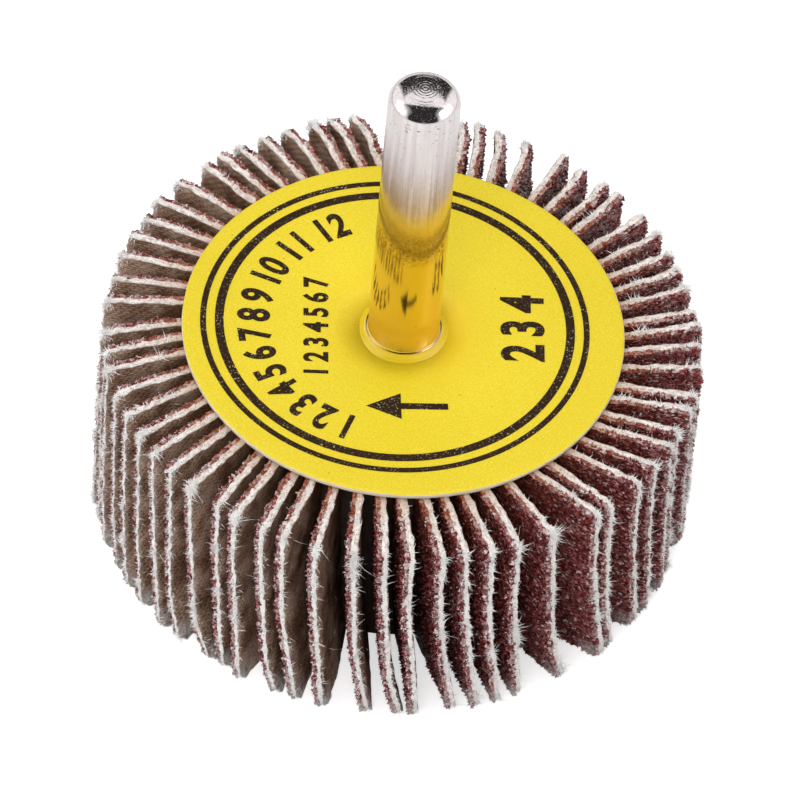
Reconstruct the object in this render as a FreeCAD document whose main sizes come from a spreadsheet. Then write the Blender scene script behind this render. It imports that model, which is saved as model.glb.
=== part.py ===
"""Flap wheel on a plain round shank.

Sixty-four flaps of abrasive cloth stand round a cast resin core, which holds them
and a steel spindle. A printed card label covers the upper side of the core, and a
bead of clear resin seals the label to the spindle. The wheel lies on its lower
side with the shank pointing up: the origin is on the axis, level with the lower
edges of the flaps, +Z runs up the shank, and the printed arrow lies on the -Y side
of the shank and points towards -X. Lengths are in millimetres, angles in degrees.
"""

import FreeCAD, Part
import Sketcher
import math
import os

doc = FreeCAD.newDocument("FlapWheel")
sheet = doc.addObject("Spreadsheet::Sheet", "Sizes")

SIZES = [
    ("wheel_diameter", 50.0, "over the outer corners of the flaps"),
    ("wheel_width", 20.0, "height of each flap along the axis"),
    ("flap_count", 64, "flaps round the wheel, an even number"),
    ("flap_thickness", 0.95, "cotton backing and its coat of grain"),
    ("flap_offset", 2.45, "how far a flap's middle plane passes the axis by"),
    ("flap_lean", 2.2, "how far round the lower edge of a flap is carried"),
    ("root_gap", 0.13, "resin between the inner ends of neighbouring flaps"),
    ("first_flap_angle", 2.5, "from +X to the first flap of an even wheel"),
    ("flap_drift", 2.2, "most that a flap is laid away from its even place"),
    ("flap_drift_angle", -14.0, "from +X to the side where flaps are furthest round"),
    ("core_diameter", 33.2, "cast resin core"),
    ("core_rise", 0.24, "core above the upper edges of the flaps"),
    ("core_recess", 0.3, "core above the lower edges of the flaps"),
    ("shank_diameter", 6.0, "plain round shank"),
    ("shank_length", 29.2, "spindle above the label"),
    ("nose_width", 1.05, "radial width of the rounded upper end"),
    ("nose_height", 1.6, "axial height of the rounded upper end"),
    ("root_rise", 0.2, "root of the spindle proud of the shank, all round"),
    ("root_chamfer", 0.5, "lower end of the root"),
    ("groove_count", 24, "grooves round the root"),
    ("groove_depth", 0.25, "depth of each V groove"),
    ("groove_width", 0.5, "width of each V groove at the surface"),
    ("groove_start", 2.0, "from the underside of the core to the grooves"),
    ("groove_cover", 0.7, "from the grooves to the top of the core"),
    ("label_diameter", 37.0, "printed card label"),
    ("label_thickness", 0.4, "card and lacquer"),
    ("label_clearance", 0.4, "between the root and the label's hole, all round"),
    ("bead_lap", 0.25, "how far the resin bead covers the label"),
    ("bead_rise", 0.3, "bead above the label, at the spindle"),
    ("print_shift_x", -0.72, "print off the centre of the label"),
    ("print_shift_y", 0.21, "print off the centre of the label"),
    ("ink_thickness", 0.03, "printed film of ink"),
    ("print_margin", 2.22, "from the label's edge in to the thin ring"),
    ("thin_ring_width", 0.5, "outer printed ring"),
    ("ring_spacing", 0.73, "bare label between the rings"),
    ("thick_ring_width", 0.74, "inner printed ring"),
    ("arrow_length", 6.8, "tip to tail"),
    ("arrow_head_length", 2.9, "tip to the back of the head"),
    ("arrow_head_width", 2.8, "across the barbs"),
    ("arrow_shaft_width", 0.65, "across the shaft"),
    ("arrow_margin", 9.8, "from the label's edge in to the middle of the arrow"),
    ("arrow_turn", 6.0, "from -Y round to the middle of the arrow"),
]

for row, (alias, value, meaning) in enumerate(SIZES, start=1):
    sheet.set(f"A{row}", meaning)
    sheet.set(f"B{row}", str(value))
    sheet.setAlias(f"B{row}", alias)
doc.recompute()


# Heights, radii and angles that several pieces share, in terms of the sheet
CORE_BOTTOM = "Sizes.core_recess"
CORE_TOP = "(Sizes.wheel_width + Sizes.core_rise)"
LABEL_TOP = f"({CORE_TOP} + Sizes.label_thickness)"
SPINDLE_TOP = f"({LABEL_TOP} + Sizes.shank_length)"
BEAD_TOP = f"({LABEL_TOP} + Sizes.bead_rise)"
SHANK_RADIUS = "(Sizes.shank_diameter / 2)"
ROOT_RADIUS = f"({SHANK_RADIUS} + Sizes.root_rise)"
LABEL_HOLE_RADIUS = f"({ROOT_RADIUS} + Sizes.label_clearance)"
PITCH = "(360 / Sizes.flap_count)"
FLAP_ROOT = f"((Sizes.flap_thickness + Sizes.root_gap) / tan({PITCH}))"
OUTER_OFFSET = "(Sizes.flap_offset + Sizes.flap_lean / 2 + Sizes.flap_thickness / 2)"
FLAP_END = f"sqrt((Sizes.wheel_diameter / 2) ^ 2 - {OUTER_OFFSET} ^ 2)"
THIN_RING = "(Sizes.label_diameter - 2 * Sizes.print_margin)"
THICK_RING = f"({THIN_RING} - 2 * Sizes.thin_ring_width - 2 * Sizes.ring_spacing)"


def value_of(expression):
    """The number that an expression over the sheet gives now."""
    return float(sheet.evalExpression(str(expression)))


def flap_angle(index):
    """The angle of a flap as an expression: evenly spaced, but for the drift."""
    even = f"(Sizes.first_flap_angle + {PITCH} * {index})"
    return f"({even} + Sizes.flap_drift * cos({even} - Sizes.flap_drift_angle))"


def new_body(label):
    body = doc.addObject("PartDesign::Body", label)
    body.Label = label
    return body


def origin_feature(body, role):
    return next(f for f in body.Origin.OriginFeatures if f.Role == role)


def new_sketch(body, name, plane, height=None):
    """A sketch on one of the body's origin planes, raised by an expression."""
    sketch = body.newObject("Sketcher::SketchObject", name)
    sketch.AttachmentSupport = [(origin_feature(body, plane), "")]
    sketch.MapMode = "FlatFace"
    if height:
        sketch.setExpression("AttachmentOffset.Base.z", height)
    return sketch


def draw_outline(sketch, points, rounded_side=None, radius=None):
    """Draws a closed loop through points, each of them two expressions.

    A point is held by its distances from the sketch's axes. The side that starts
    at the point numbered rounded_side bulges outwards as an arc of this radius,
    in a loop that is drawn anticlockwise.
    """
    rough = [FreeCAD.Vector(value_of(x), value_of(y), 0) for x, y in points]
    count = len(points)
    for index in range(count):
        start = rough[index]
        end = rough[(index + 1) % count]
        if index == rounded_side:
            sketch.addGeometry(bulging_arc(start, end, value_of(radius)), False)
        else:
            sketch.addGeometry(Part.LineSegment(start, end), False)
    for index in range(count):
        after = (index + 1) % count
        sketch.addConstraint(Sketcher.Constraint("Coincident", index, 2, after, 1))
    for index, (x, y) in enumerate(points):
        hold(sketch, "DistanceX", index, 1, x, f"x{index}")
        hold(sketch, "DistanceY", index, 1, y, f"y{index}")
    if radius:
        constraint = sketch.addConstraint(
            Sketcher.Constraint("Radius", rounded_side, value_of(radius)))
        sketch.renameConstraint(constraint, "bulge")
        sketch.setExpression("Constraints.bulge", radius)


def bulging_arc(start, end, radius):
    """The short anticlockwise arc from start to end."""
    middle = (start + end) * 0.5
    across = end - start
    outwards = FreeCAD.Vector(across.y, -across.x, 0).normalize()
    sagitta = radius - math.sqrt(radius ** 2 - (across.Length / 2) ** 2)
    return Part.Arc(start, middle + outwards * sagitta, end)


def hold(sketch, kind, index, vertex, expression, name):
    """Fixes one coordinate of a vertex, on an axis where the expression is nought."""
    if expression == "0":
        axis = -2 if kind == "DistanceX" else -1
        sketch.addConstraint(Sketcher.Constraint("PointOnObject", index, vertex, axis))
        return
    constraint = sketch.addConstraint(
        Sketcher.Constraint(kind, -1, 1, index, vertex, value_of(expression)))
    sketch.renameConstraint(constraint, name)
    sketch.setExpression(f"Constraints.{name}", expression)


def draw_circle(sketch, diameter, name, x="0", y="0"):
    centre = FreeCAD.Vector(value_of(x), value_of(y), 0)
    circle = sketch.addGeometry(
        Part.Circle(centre, FreeCAD.Vector(0, 0, 1), value_of(diameter) / 2), False)
    constraint = sketch.addConstraint(
        Sketcher.Constraint("Diameter", circle, value_of(diameter)))
    sketch.renameConstraint(constraint, name)
    sketch.setExpression(f"Constraints.{name}", diameter)
    hold(sketch, "DistanceX", circle, 3, x, f"{name}_x")
    hold(sketch, "DistanceY", circle, 3, y, f"{name}_y")


def pad(body, sketch, length, label):
    feature = body.newObject("PartDesign::Pad", label)
    feature.Profile = sketch
    feature.setExpression("Length", length)
    return feature


def revolve(body, sketch, label):
    feature = body.newObject("PartDesign::Revolution", label)
    feature.Profile = sketch
    feature.ReferenceAxis = (sketch, ["V_Axis"])
    feature.Angle = 360
    return feature


def make_spindle():
    """Steel rod: a plain shank with a rounded nose, and a thicker grooved root in the core.

    The root ends level with the top of the resin bead, which hides its shoulder.
    """
    body = new_body("spindle")
    profile = new_sketch(body, "SpindleProfile", "XZ_Plane")
    nose_radius = "((Sizes.nose_width ^ 2 + Sizes.nose_height ^ 2) / 2 / Sizes.nose_width)"
    draw_outline(profile, [
        ("0", CORE_BOTTOM),
        (f"{ROOT_RADIUS} - Sizes.root_chamfer", CORE_BOTTOM),
        (ROOT_RADIUS, f"{CORE_BOTTOM} + Sizes.root_chamfer"),
        (ROOT_RADIUS, BEAD_TOP),
        (SHANK_RADIUS, BEAD_TOP),
        (SHANK_RADIUS, f"{SPINDLE_TOP} - Sizes.nose_height"),
        (f"{SHANK_RADIUS} - Sizes.nose_width", SPINDLE_TOP),
        ("0", SPINDLE_TOP),
    ], rounded_side=5, radius=nose_radius)
    turned = revolve(body, profile, "SpindleTurned")
    doc.recompute()

    # One V groove along the root, repeated round the axis. Its cutter is carried
    # past the surface by the groove's own depth, so there it is twice as wide.
    start = f"({CORE_BOTTOM} + Sizes.groove_start)"
    groove = new_sketch(body, "GrooveProfile", "XY_Plane", start)
    mouth = f"({ROOT_RADIUS} + Sizes.groove_depth)"
    draw_outline(groove, [
        (f"{ROOT_RADIUS} - Sizes.groove_depth", "0"),
        (mouth, "-Sizes.groove_width"),
        (mouth, "Sizes.groove_width"),
    ])
    cut = body.newObject("PartDesign::Pocket", "Groove")
    cut.Profile = groove
    cut.Reversed = True
    cut.setExpression("Length", f"{CORE_TOP} - Sizes.groove_cover - {start}")
    grooves = body.newObject("PartDesign::PolarPattern", "Grooves")
    grooves.Originals = [cut]
    grooves.Axis = (origin_feature(body, "Z_Axis"), [""])
    grooves.Angle = 360
    grooves.setExpression("Occurrences", "Sizes.groove_count")
    body.Tip = grooves
    doc.recompute()
    if grooves.Shape.Volume >= turned.Shape.Volume:
        raise RuntimeError("the grooves take nothing off the spindle")
    return body


def make_flap_pair(number):
    """Two neighbouring flaps: flat strips that lean, so their lower edges are further round."""
    first = 2 * (number - 1)
    body = new_body(f"flap_pair_{number:02d}")
    section = new_sketch(body, f"FlapSection{number:02d}", "YZ_Plane", FLAP_ROOT)
    upper = "-(Sizes.flap_offset + Sizes.flap_lean / 2)"
    lower = "-(Sizes.flap_offset - Sizes.flap_lean / 2)"
    half = "Sizes.flap_thickness / 2"
    draw_outline(section, [
        (f"{lower} - {half}", "0"),
        (f"{lower} + {half}", "0"),
        (f"{upper} + {half}", "Sizes.wheel_width"),
        (f"{upper} - {half}", "Sizes.wheel_width"),
    ])
    strip = pad(body, section, f"{FLAP_END} - {FLAP_ROOT}", f"Flap{number:02d}")
    pair = body.newObject("PartDesign::PolarPattern", f"FlapPair{number:02d}")
    pair.Originals = [strip]
    pair.Axis = (origin_feature(body, "Z_Axis"), [""])
    pair.setExpression("Angle", f"{flap_angle(first + 1)} - {flap_angle(first)}")
    pair.Occurrences = 2
    body.Tip = pair
    body.setExpression("Placement.Rotation.Angle", flap_angle(first))
    return body


def make_core(spindle, flap_pairs):
    """Resin cast round the spindle and the inner ends of the flaps."""
    blank = new_body("core_blank")
    disc = new_sketch(blank, "CoreOutline", "XY_Plane", CORE_BOTTOM)
    draw_circle(disc, "Sizes.core_diameter", "across")
    pad(blank, disc, f"{CORE_TOP} - {CORE_BOTTOM}", "CorePad")
    inserts = doc.addObject("Part::Compound", "CoreInserts")
    inserts.Links = [spindle] + flap_pairs
    core = doc.addObject("Part::Cut", "core")
    core.Base = blank
    core.Tool = inserts
    core.Label = "core"
    return core


def make_label():
    body = new_body("label")
    ring = new_sketch(body, "LabelOutline", "XY_Plane", CORE_TOP)
    draw_circle(ring, "Sizes.label_diameter", "across")
    draw_circle(ring, f"2 * {LABEL_HOLE_RADIUS}", "hole")
    pad(body, ring, "Sizes.label_thickness", "LabelPad")
    return body


def make_bead():
    """Clear resin that fills the label's hole and stands a little above the label."""
    body = new_body("resin_bead")
    profile = new_sketch(body, "BeadProfile", "XZ_Plane")
    skirt = f"({LABEL_HOLE_RADIUS} + Sizes.bead_lap)"
    draw_outline(profile, [
        (ROOT_RADIUS, CORE_TOP),
        (LABEL_HOLE_RADIUS, CORE_TOP),
        (LABEL_HOLE_RADIUS, LABEL_TOP),
        (skirt, LABEL_TOP),
        (ROOT_RADIUS, BEAD_TOP),
    ], rounded_side=3, radius=f"({skirt} - {ROOT_RADIUS} + Sizes.bead_rise)")
    revolve(body, profile, "BeadTurned")
    return body


def make_printed_ring(label, diameter, width):
    body = new_body(label)
    ring = new_sketch(body, f"{label}_outline", "XY_Plane", LABEL_TOP)
    centre = {"x": "Sizes.print_shift_x", "y": "Sizes.print_shift_y"}
    draw_circle(ring, diameter, "outside", **centre)
    draw_circle(ring, f"{diameter} - 2 * {width}", "inside", **centre)
    pad(body, ring, "Sizes.ink_thickness", f"{label}_film")
    return body


def make_arrow():
    """Printed arrow on the -Y side of the spindle, which shows the way the wheel turns."""
    body = new_body("printed_arrow")
    outline = new_sketch(body, "ArrowOutline", "XY_Plane", LABEL_TOP)
    tip = "(-Sizes.arrow_length / 2)"
    back = f"({tip} + Sizes.arrow_head_length)"
    tail = "(Sizes.arrow_length / 2)"
    middle = "(Sizes.arrow_margin - Sizes.label_diameter / 2)"
    barb = "Sizes.arrow_head_width / 2"
    half = "Sizes.arrow_shaft_width / 2"
    draw_outline(outline, [
        (tip, middle),
        (back, f"{middle} - {barb}"),
        (back, f"{middle} - {half}"),
        (tail, f"{middle} - {half}"),
        (tail, f"{middle} + {half}"),
        (back, f"{middle} + {half}"),
        (back, f"{middle} + {barb}"),
    ])
    pad(body, outline, "Sizes.ink_thickness", "ArrowFilm")
    body.setExpression("Placement.Rotation.Angle", "Sizes.arrow_turn")
    return body


def make_wheel():
    spindle = make_spindle()
    pair_count = int(value_of("Sizes.flap_count / 2"))
    flap_pairs = [make_flap_pair(number) for number in range(1, pair_count + 1)]
    return flap_pairs + [
        spindle,
        make_core(spindle, flap_pairs),
        make_label(),
        make_bead(),
        make_printed_ring("printed_ring_thin", THIN_RING, "Sizes.thin_ring_width"),
        make_printed_ring("printed_ring_thick", THICK_RING, "Sizes.thick_ring_width"),
        make_arrow(),
    ]


def check_and_write(pieces):
    doc.recompute()
    for item in doc.Objects:
        if "Invalid" in item.State or "Error" in item.State:
            raise RuntimeError(f"{item.Label} did not build: {item.State}")
    os.makedirs("parts", exist_ok=True)
    for piece in pieces:
        shape = piece.Shape
        if shape.isNull() or not shape.isValid() or shape.Volume <= 0:
            raise RuntimeError(f"{piece.Label} has no sound shape")
        shape.exportStep(f"parts/{piece.Label}.step")
        print(f"{piece.Label}: {len(shape.Solids)} solid, {shape.Volume:.2f} mm3")


check_and_write(make_wheel())
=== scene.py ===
"""Looks of the flap wheel: frayed cloth flaps with coarse grain, a printed yellow label,
a clear bead of resin and a drawn steel shank, standing on a pale floor.

Lengths are written in millimetres and go through MM; Blender holds metres.
"""

import math
import bpy
import numpy as np
from mathutils import Matrix, Vector, noise


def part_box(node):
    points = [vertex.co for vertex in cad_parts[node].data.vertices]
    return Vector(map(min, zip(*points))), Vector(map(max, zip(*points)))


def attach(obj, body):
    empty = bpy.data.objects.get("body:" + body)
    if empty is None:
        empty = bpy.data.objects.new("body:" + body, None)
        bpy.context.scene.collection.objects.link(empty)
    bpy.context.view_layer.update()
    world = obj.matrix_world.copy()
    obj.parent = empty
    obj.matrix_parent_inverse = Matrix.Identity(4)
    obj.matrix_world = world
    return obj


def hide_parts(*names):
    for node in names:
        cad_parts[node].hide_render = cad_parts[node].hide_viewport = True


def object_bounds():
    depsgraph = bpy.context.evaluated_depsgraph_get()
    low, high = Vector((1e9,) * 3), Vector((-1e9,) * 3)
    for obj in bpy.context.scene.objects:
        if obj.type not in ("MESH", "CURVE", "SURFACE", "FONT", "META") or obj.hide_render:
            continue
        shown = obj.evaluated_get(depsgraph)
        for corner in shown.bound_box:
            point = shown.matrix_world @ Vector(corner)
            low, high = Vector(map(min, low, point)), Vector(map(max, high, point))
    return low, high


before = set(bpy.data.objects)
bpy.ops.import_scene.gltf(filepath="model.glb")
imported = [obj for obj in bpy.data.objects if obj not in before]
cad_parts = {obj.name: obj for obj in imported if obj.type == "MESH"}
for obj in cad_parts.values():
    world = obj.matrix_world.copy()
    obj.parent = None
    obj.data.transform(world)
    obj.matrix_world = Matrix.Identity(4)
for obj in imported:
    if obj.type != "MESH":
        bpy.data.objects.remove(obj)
cad_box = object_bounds()

MM = 0.001

# Vector noise starts from the clock unless it is given a seed
NOISE_SEED = 7
noise.seed_set(NOISE_SEED)

# Places read from the frame, in millimetres
FLAP_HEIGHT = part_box("flap_pair_01")[1].z / MM
WHEEL_RADIUS = cad_box[1].x / MM
CORE_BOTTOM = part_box("core")[0].z / MM
CORE_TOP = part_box("core")[1].z / MM
CORE_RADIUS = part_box("core")[1].x / MM
LABEL_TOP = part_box("label")[1].z / MM
LABEL_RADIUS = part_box("label")[1].x / MM
SHANK_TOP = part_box("spindle")[1].z / MM
BEAD_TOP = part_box("resin_bead")[1].z / MM
INK_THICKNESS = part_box("printed_arrow")[1].z / MM - LABEL_TOP

# Wheel
FLAP_COUNT = 64
PITCH = 360 / FLAP_COUNT
FIRST_FLAP_ANGLE = 2.5
FLAP_DRIFT = 2.2
FLAP_DRIFT_ANGLE = -14.0
FLAP_ROOT = 10.95
FLAP_LENGTH = WHEEL_RADIUS - FLAP_ROOT
ROOT_LAG = 1.9
CLOTH_THICKNESS = 0.54
GRAIN_THICKNESS = 0.34
BEVEL = 0.22
TOP_OFFSET = 2.86
TWIST = 5.0
BEND = 2.4
SHANK_RADIUS = 3.0
ROOT_RADIUS = 3.2
THREAD_PITCH = 0.25
FLOAT_LENGTH = 0.75
WEAVE_UNIT = 25

# The flaps that face this way are frayed the most
MOST_FRAYED = 310

# Where the pale edge of each flap, from the first, crosses this radius at the top
EDGE_RADIUS = 21.5
EDGE_ANGLES = (
    -3, 3, 8, 12, 18, 23, 27.5, 33, 38.5, 45.5, 49.5, 55, 60, 67, 72.5, 77.5,
    81, 87.5, 94, 101, 106, 110.5, 116, 121.5, 127, 131.5, 136, 142.5, 149, 154.5, 159.8, 165.5,
    171.8, 177.5, 185.5, 190.3, 195.2, 201.5, 207, 212.8, 218, 223.3, 229, 235.3, 240, 246, 250.5, 257,
    264, 270, 275, 281, 286, 291, 296.5, 303.7, 312.5, 316.7, 324, 329.5, 335.5, 340, 346, 350,
)


def add_to_scene(name, data):
    thing = bpy.data.objects.new(name, data)
    bpy.context.scene.collection.objects.link(thing)
    return thing


class Recipe:
    """A material or world in the making: each call adds a node and gives back its output."""

    def __init__(self, owner):
        owner.use_nodes = True
        self.owner = owner
        self.tree = owner.node_tree
        self.tree.nodes.clear()

    def feed(self, socket, value):
        if isinstance(value, bpy.types.NodeSocket):
            self.tree.links.new(value, socket)
        elif isinstance(value, tuple) and len(value) == 3 and socket.type == "RGBA":
            socket.default_value = (*value, 1.0)
        else:
            socket.default_value = value

    def add(self, kind, output=0, settings=None, **inputs):
        node = self.tree.nodes.new(kind)
        for name, value in (settings or {}).items():
            setattr(node, name, value)
        for name, value in inputs.items():
            self.feed(node.inputs[name.replace("_", " ")], value)
        return node.outputs[output]

    def maths(self, operation, first, second=0.0, clamp=False):
        node = self.tree.nodes.new("ShaderNodeMath")
        node.operation = operation
        node.use_clamp = clamp
        self.feed(node.inputs[0], first)
        self.feed(node.inputs[1], second)
        return node.outputs[0]

    def times(self, first, second, clamp=False):
        return self.maths("MULTIPLY", first, second, clamp)

    def plus(self, first, second, clamp=False):
        return self.maths("ADD", first, second, clamp)

    def minus(self, first, second):
        return self.maths("SUBTRACT", first, second)

    def blend(self, share, first, second):
        """Two colours, each a socket or a constant, mixed by a share."""
        node = self.tree.nodes.new("ShaderNodeMix")
        node.data_type = "RGBA"
        self.feed(node.inputs[0], share)
        self.feed(node.inputs[6], first)
        self.feed(node.inputs[7], second)
        return node.outputs[2]

    def split(self, where):
        """The X, Y and Z of a place."""
        node = self.tree.nodes.new("ShaderNodeSeparateXYZ")
        self.feed(node.inputs[0], where)
        return tuple(node.outputs)

    def attribute(self, label):
        """A value that the mesh carries at its points."""
        return self.add("ShaderNodeAttribute", output=2, settings={"attribute_name": label})

    def cells(self, where, scale):
        """Random cells: a shade for each, and the distance from its middle."""
        node = self.tree.nodes.new("ShaderNodeTexVoronoi")
        self.feed(node.inputs["Vector"], where)
        self.feed(node.inputs["Scale"], scale)
        return node.outputs["Color"], node.outputs["Distance"]

    def spread(self, value, low, high, to_low=0.0, to_high=1.0):
        """Maps low..high onto to_low..to_high, held at both ends."""
        return self.add("ShaderNodeMapRange", Value=value, From_Min=low, From_Max=high,
                        To_Min=to_low, To_Max=to_high)

    def noise(self, where, scale, detail=2.0, roughness=0.5):
        return self.add("ShaderNodeTexNoise", Vector=where, Scale=scale, Detail=detail,
                        Roughness=roughness)

    def stretch(self, where, scale):
        return self.add("ShaderNodeMapping", Vector=where, Scale=scale)

    def ramp(self, value, stops):
        node = self.tree.nodes.new("ShaderNodeValToRGB")
        elements = node.color_ramp.elements
        while len(elements) < len(stops):
            elements.new(0.5)
        for element, (place, colour) in zip(elements, stops):
            element.position = place
            element.color = (*colour, 1.0)
        self.feed(node.inputs[0], value)
        return node.outputs[0]

    def bump(self, height, distance, strength=1.0):
        return self.add("ShaderNodeBump", Height=height, Distance=distance, Strength=strength)

    def end_with(self, shader, kind="ShaderNodeOutputMaterial"):
        output = self.tree.nodes.new(kind)
        self.tree.links.new(shader, output.inputs["Surface"])
        return self.owner

    def surface(self, **inputs):
        return self.end_with(self.add("ShaderNodeBsdfPrincipled", **inputs))


def new_recipe(name):
    return Recipe(bpy.data.materials.new(name))


def object_place(recipe):
    return recipe.add("ShaderNodeTexCoord", output=3)


def radius_and_height(recipe, where):
    """Distance from the axis and height, in metres."""
    x, y, z = recipe.split(where)
    square = recipe.plus(recipe.times(x, x), recipe.times(y, y))
    return recipe.maths("SQRT", square), z


def worn_tips(recipe, where, radius, height):
    """Share of dirty white at the lower outer corner of a flap."""
    blotch = recipe.spread(recipe.noise(where, 1700.0, 3.0, 0.7), 0.32, 0.52)
    low = recipe.spread(height, 0.0025, 0.0007)
    outer = recipe.spread(radius, 0.0228, 0.0242)
    return recipe.times(recipe.times(low, outer), blotch)


def resin_and_shade_share(recipe, radius, patch, unevenness, clean_from, full_share_at):
    """Share of resin that has crept out of the core, with an uneven front; the same share also lays the
    painted shade low between the flaps near the core.
    """
    front = recipe.plus(radius, recipe.times(patch, unevenness))
    return recipe.spread(front, clean_from, full_share_at)


def rounded_thread(recipe, place, power):
    """1 in the middle of each whole step of a place, and 0 at its two ends."""
    across = recipe.minus(recipe.maths("FRACT", place), 0.5)
    fall = recipe.maths("POWER", recipe.maths("ABSOLUTE", recipe.times(across, 2.0)), power)
    return recipe.minus(1.0, fall)


def woven_threads(recipe, flat):
    """Floats along the flap's reach, each a little further out than the one below."""
    along, up, _ = recipe.split(flat)
    wander = recipe.times(recipe.noise(flat, 18.0, 2.0), 1.6)
    row = recipe.plus(recipe.times(up, WEAVE_UNIT / THREAD_PITCH), wander)
    step = recipe.times(recipe.maths("FLOOR", row), 0.38)
    place = recipe.plus(recipe.times(along, WEAVE_UNIT / FLOAT_LENGTH), step)
    place = recipe.plus(place, recipe.noise(flat, 14.0, 2.0))
    return recipe.times(rounded_thread(recipe, row, 2.0), rounded_thread(recipe, place, 3.0))


def cut_yarns(recipe, where, flat, radius):
    """Pale mottled yarn ends where the cloth was cut, whitest at the outer end."""
    along, up, _ = recipe.split(flat)
    ply = recipe.attribute("ply")
    ends = recipe.tree.nodes.new("ShaderNodeCombineXYZ")
    for socket, value, pitch in zip(ends.inputs, (along, up, ply), (24.0, 24.0, 3.0)):
        recipe.feed(socket, recipe.times(value, pitch))
    yarn = recipe.noise(ends.outputs[0], 1.6, 3.0, 0.65)
    fibre = recipe.noise(where, 2600.0, 3.0, 0.7)
    mottle = recipe.plus(recipe.times(yarn, 0.6), recipe.times(fibre, 0.4))
    mottle = recipe.minus(mottle, recipe.spread(ply, 0.55, 1.0, 0.0, 0.07))
    cut = recipe.blend(recipe.spread(mottle, 0.34, 0.54), (0.38, 0.31, 0.27), (0.91, 0.85, 0.80))
    return recipe.blend(recipe.spread(radius, 0.0240, 0.0250, 0.0, 0.55), cut, (0.985, 0.975, 0.965))


def backing_cloth():
    """Brown twill, white where it was cut, stained where the core's resin has crept out, and near-black
    low down near the core as painted shade between the flaps.
    """
    recipe = new_recipe("backing_cloth")
    where = object_place(recipe)
    radius, height = radius_and_height(recipe, where)
    flat = recipe.add("ShaderNodeUVMap", settings={"uv_map": "weave"})
    threads = woven_threads(recipe, flat)
    hairs = recipe.noise(recipe.stretch(flat, (1.0, 6.0, 1.0)), 70.0, 3.0, 0.65)
    speckle = recipe.noise(where, 4200.0, 3.0, 0.65)
    patch = recipe.noise(where, 420.0, 2.0)
    shade = recipe.plus(recipe.times(threads, 0.17), recipe.times(hairs, 0.47))
    shade = recipe.plus(shade, recipe.times(speckle, 0.36))
    shade = recipe.plus(shade, recipe.spread(patch, 0.35, 0.65, -0.09, 0.12))
    face = recipe.ramp(shade, [(0.28, (0.064, 0.028, 0.015)), (0.47, (0.265, 0.144, 0.087)),
                               (0.68, (0.62, 0.455, 0.34))])
    # Near the core the face takes resin: orange-brown at the top, and near-black lower down, which is
    # painted shade deep between the flaps.
    resin = resin_and_shade_share(recipe, radius, patch, 0.004, 0.0240, 0.0190)
    resin_stain_and_gap_shade = recipe.blend(recipe.spread(height, 0.0120, 0.0185),
                          (0.022, 0.009, 0.004), (0.135, 0.060, 0.014))
    face = recipe.blend(recipe.times(resin, 0.8), face, resin_stain_and_gap_shade)

    # The cut edges: stained near the core, with specks of grain
    stain = recipe.times(resin, recipe.spread(patch, 0.35, 0.6, 0.35, 1.0))
    cut = recipe.blend(stain, cut_yarns(recipe, where, flat, radius), (0.47, 0.27, 0.135))
    specks = recipe.spread(recipe.noise(where, 3600.0, 2.0, 0.6), 0.59, 0.66, 0.0, 0.6)
    cut = recipe.blend(specks, cut, (0.30, 0.11, 0.09))
    edge = recipe.attribute("edge")
    patchy = recipe.times(edge, recipe.spread(speckle, 0.25, 0.55, 0.7, 1.4), True)
    colour = recipe.blend(patchy, face, cut)
    colour = recipe.blend(worn_tips(recipe, where, radius, height), colour, (0.64, 0.62, 0.605))
    relief = recipe.plus(recipe.times(threads, 0.45), hairs)
    softer = recipe.spread(edge, 0.0, 1.0, 1.0, 0.4)
    return recipe.surface(Base_Color=colour, Roughness=0.95, Specular_IOR_Level=0.12,
                          Normal=recipe.bump(relief, 0.11 * MM, softer))


def loose_fibre():
    recipe = new_recipe("loose_fibre")
    tone = recipe.noise(object_place(recipe), 1500.0)
    colour = recipe.blend(recipe.spread(tone, 0.35, 0.6), (0.86, 0.83, 0.80), (0.99, 0.985, 0.98))
    return recipe.surface(Base_Color=colour, Roughness=0.8, Specular_IOR_Level=0.3)


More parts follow.
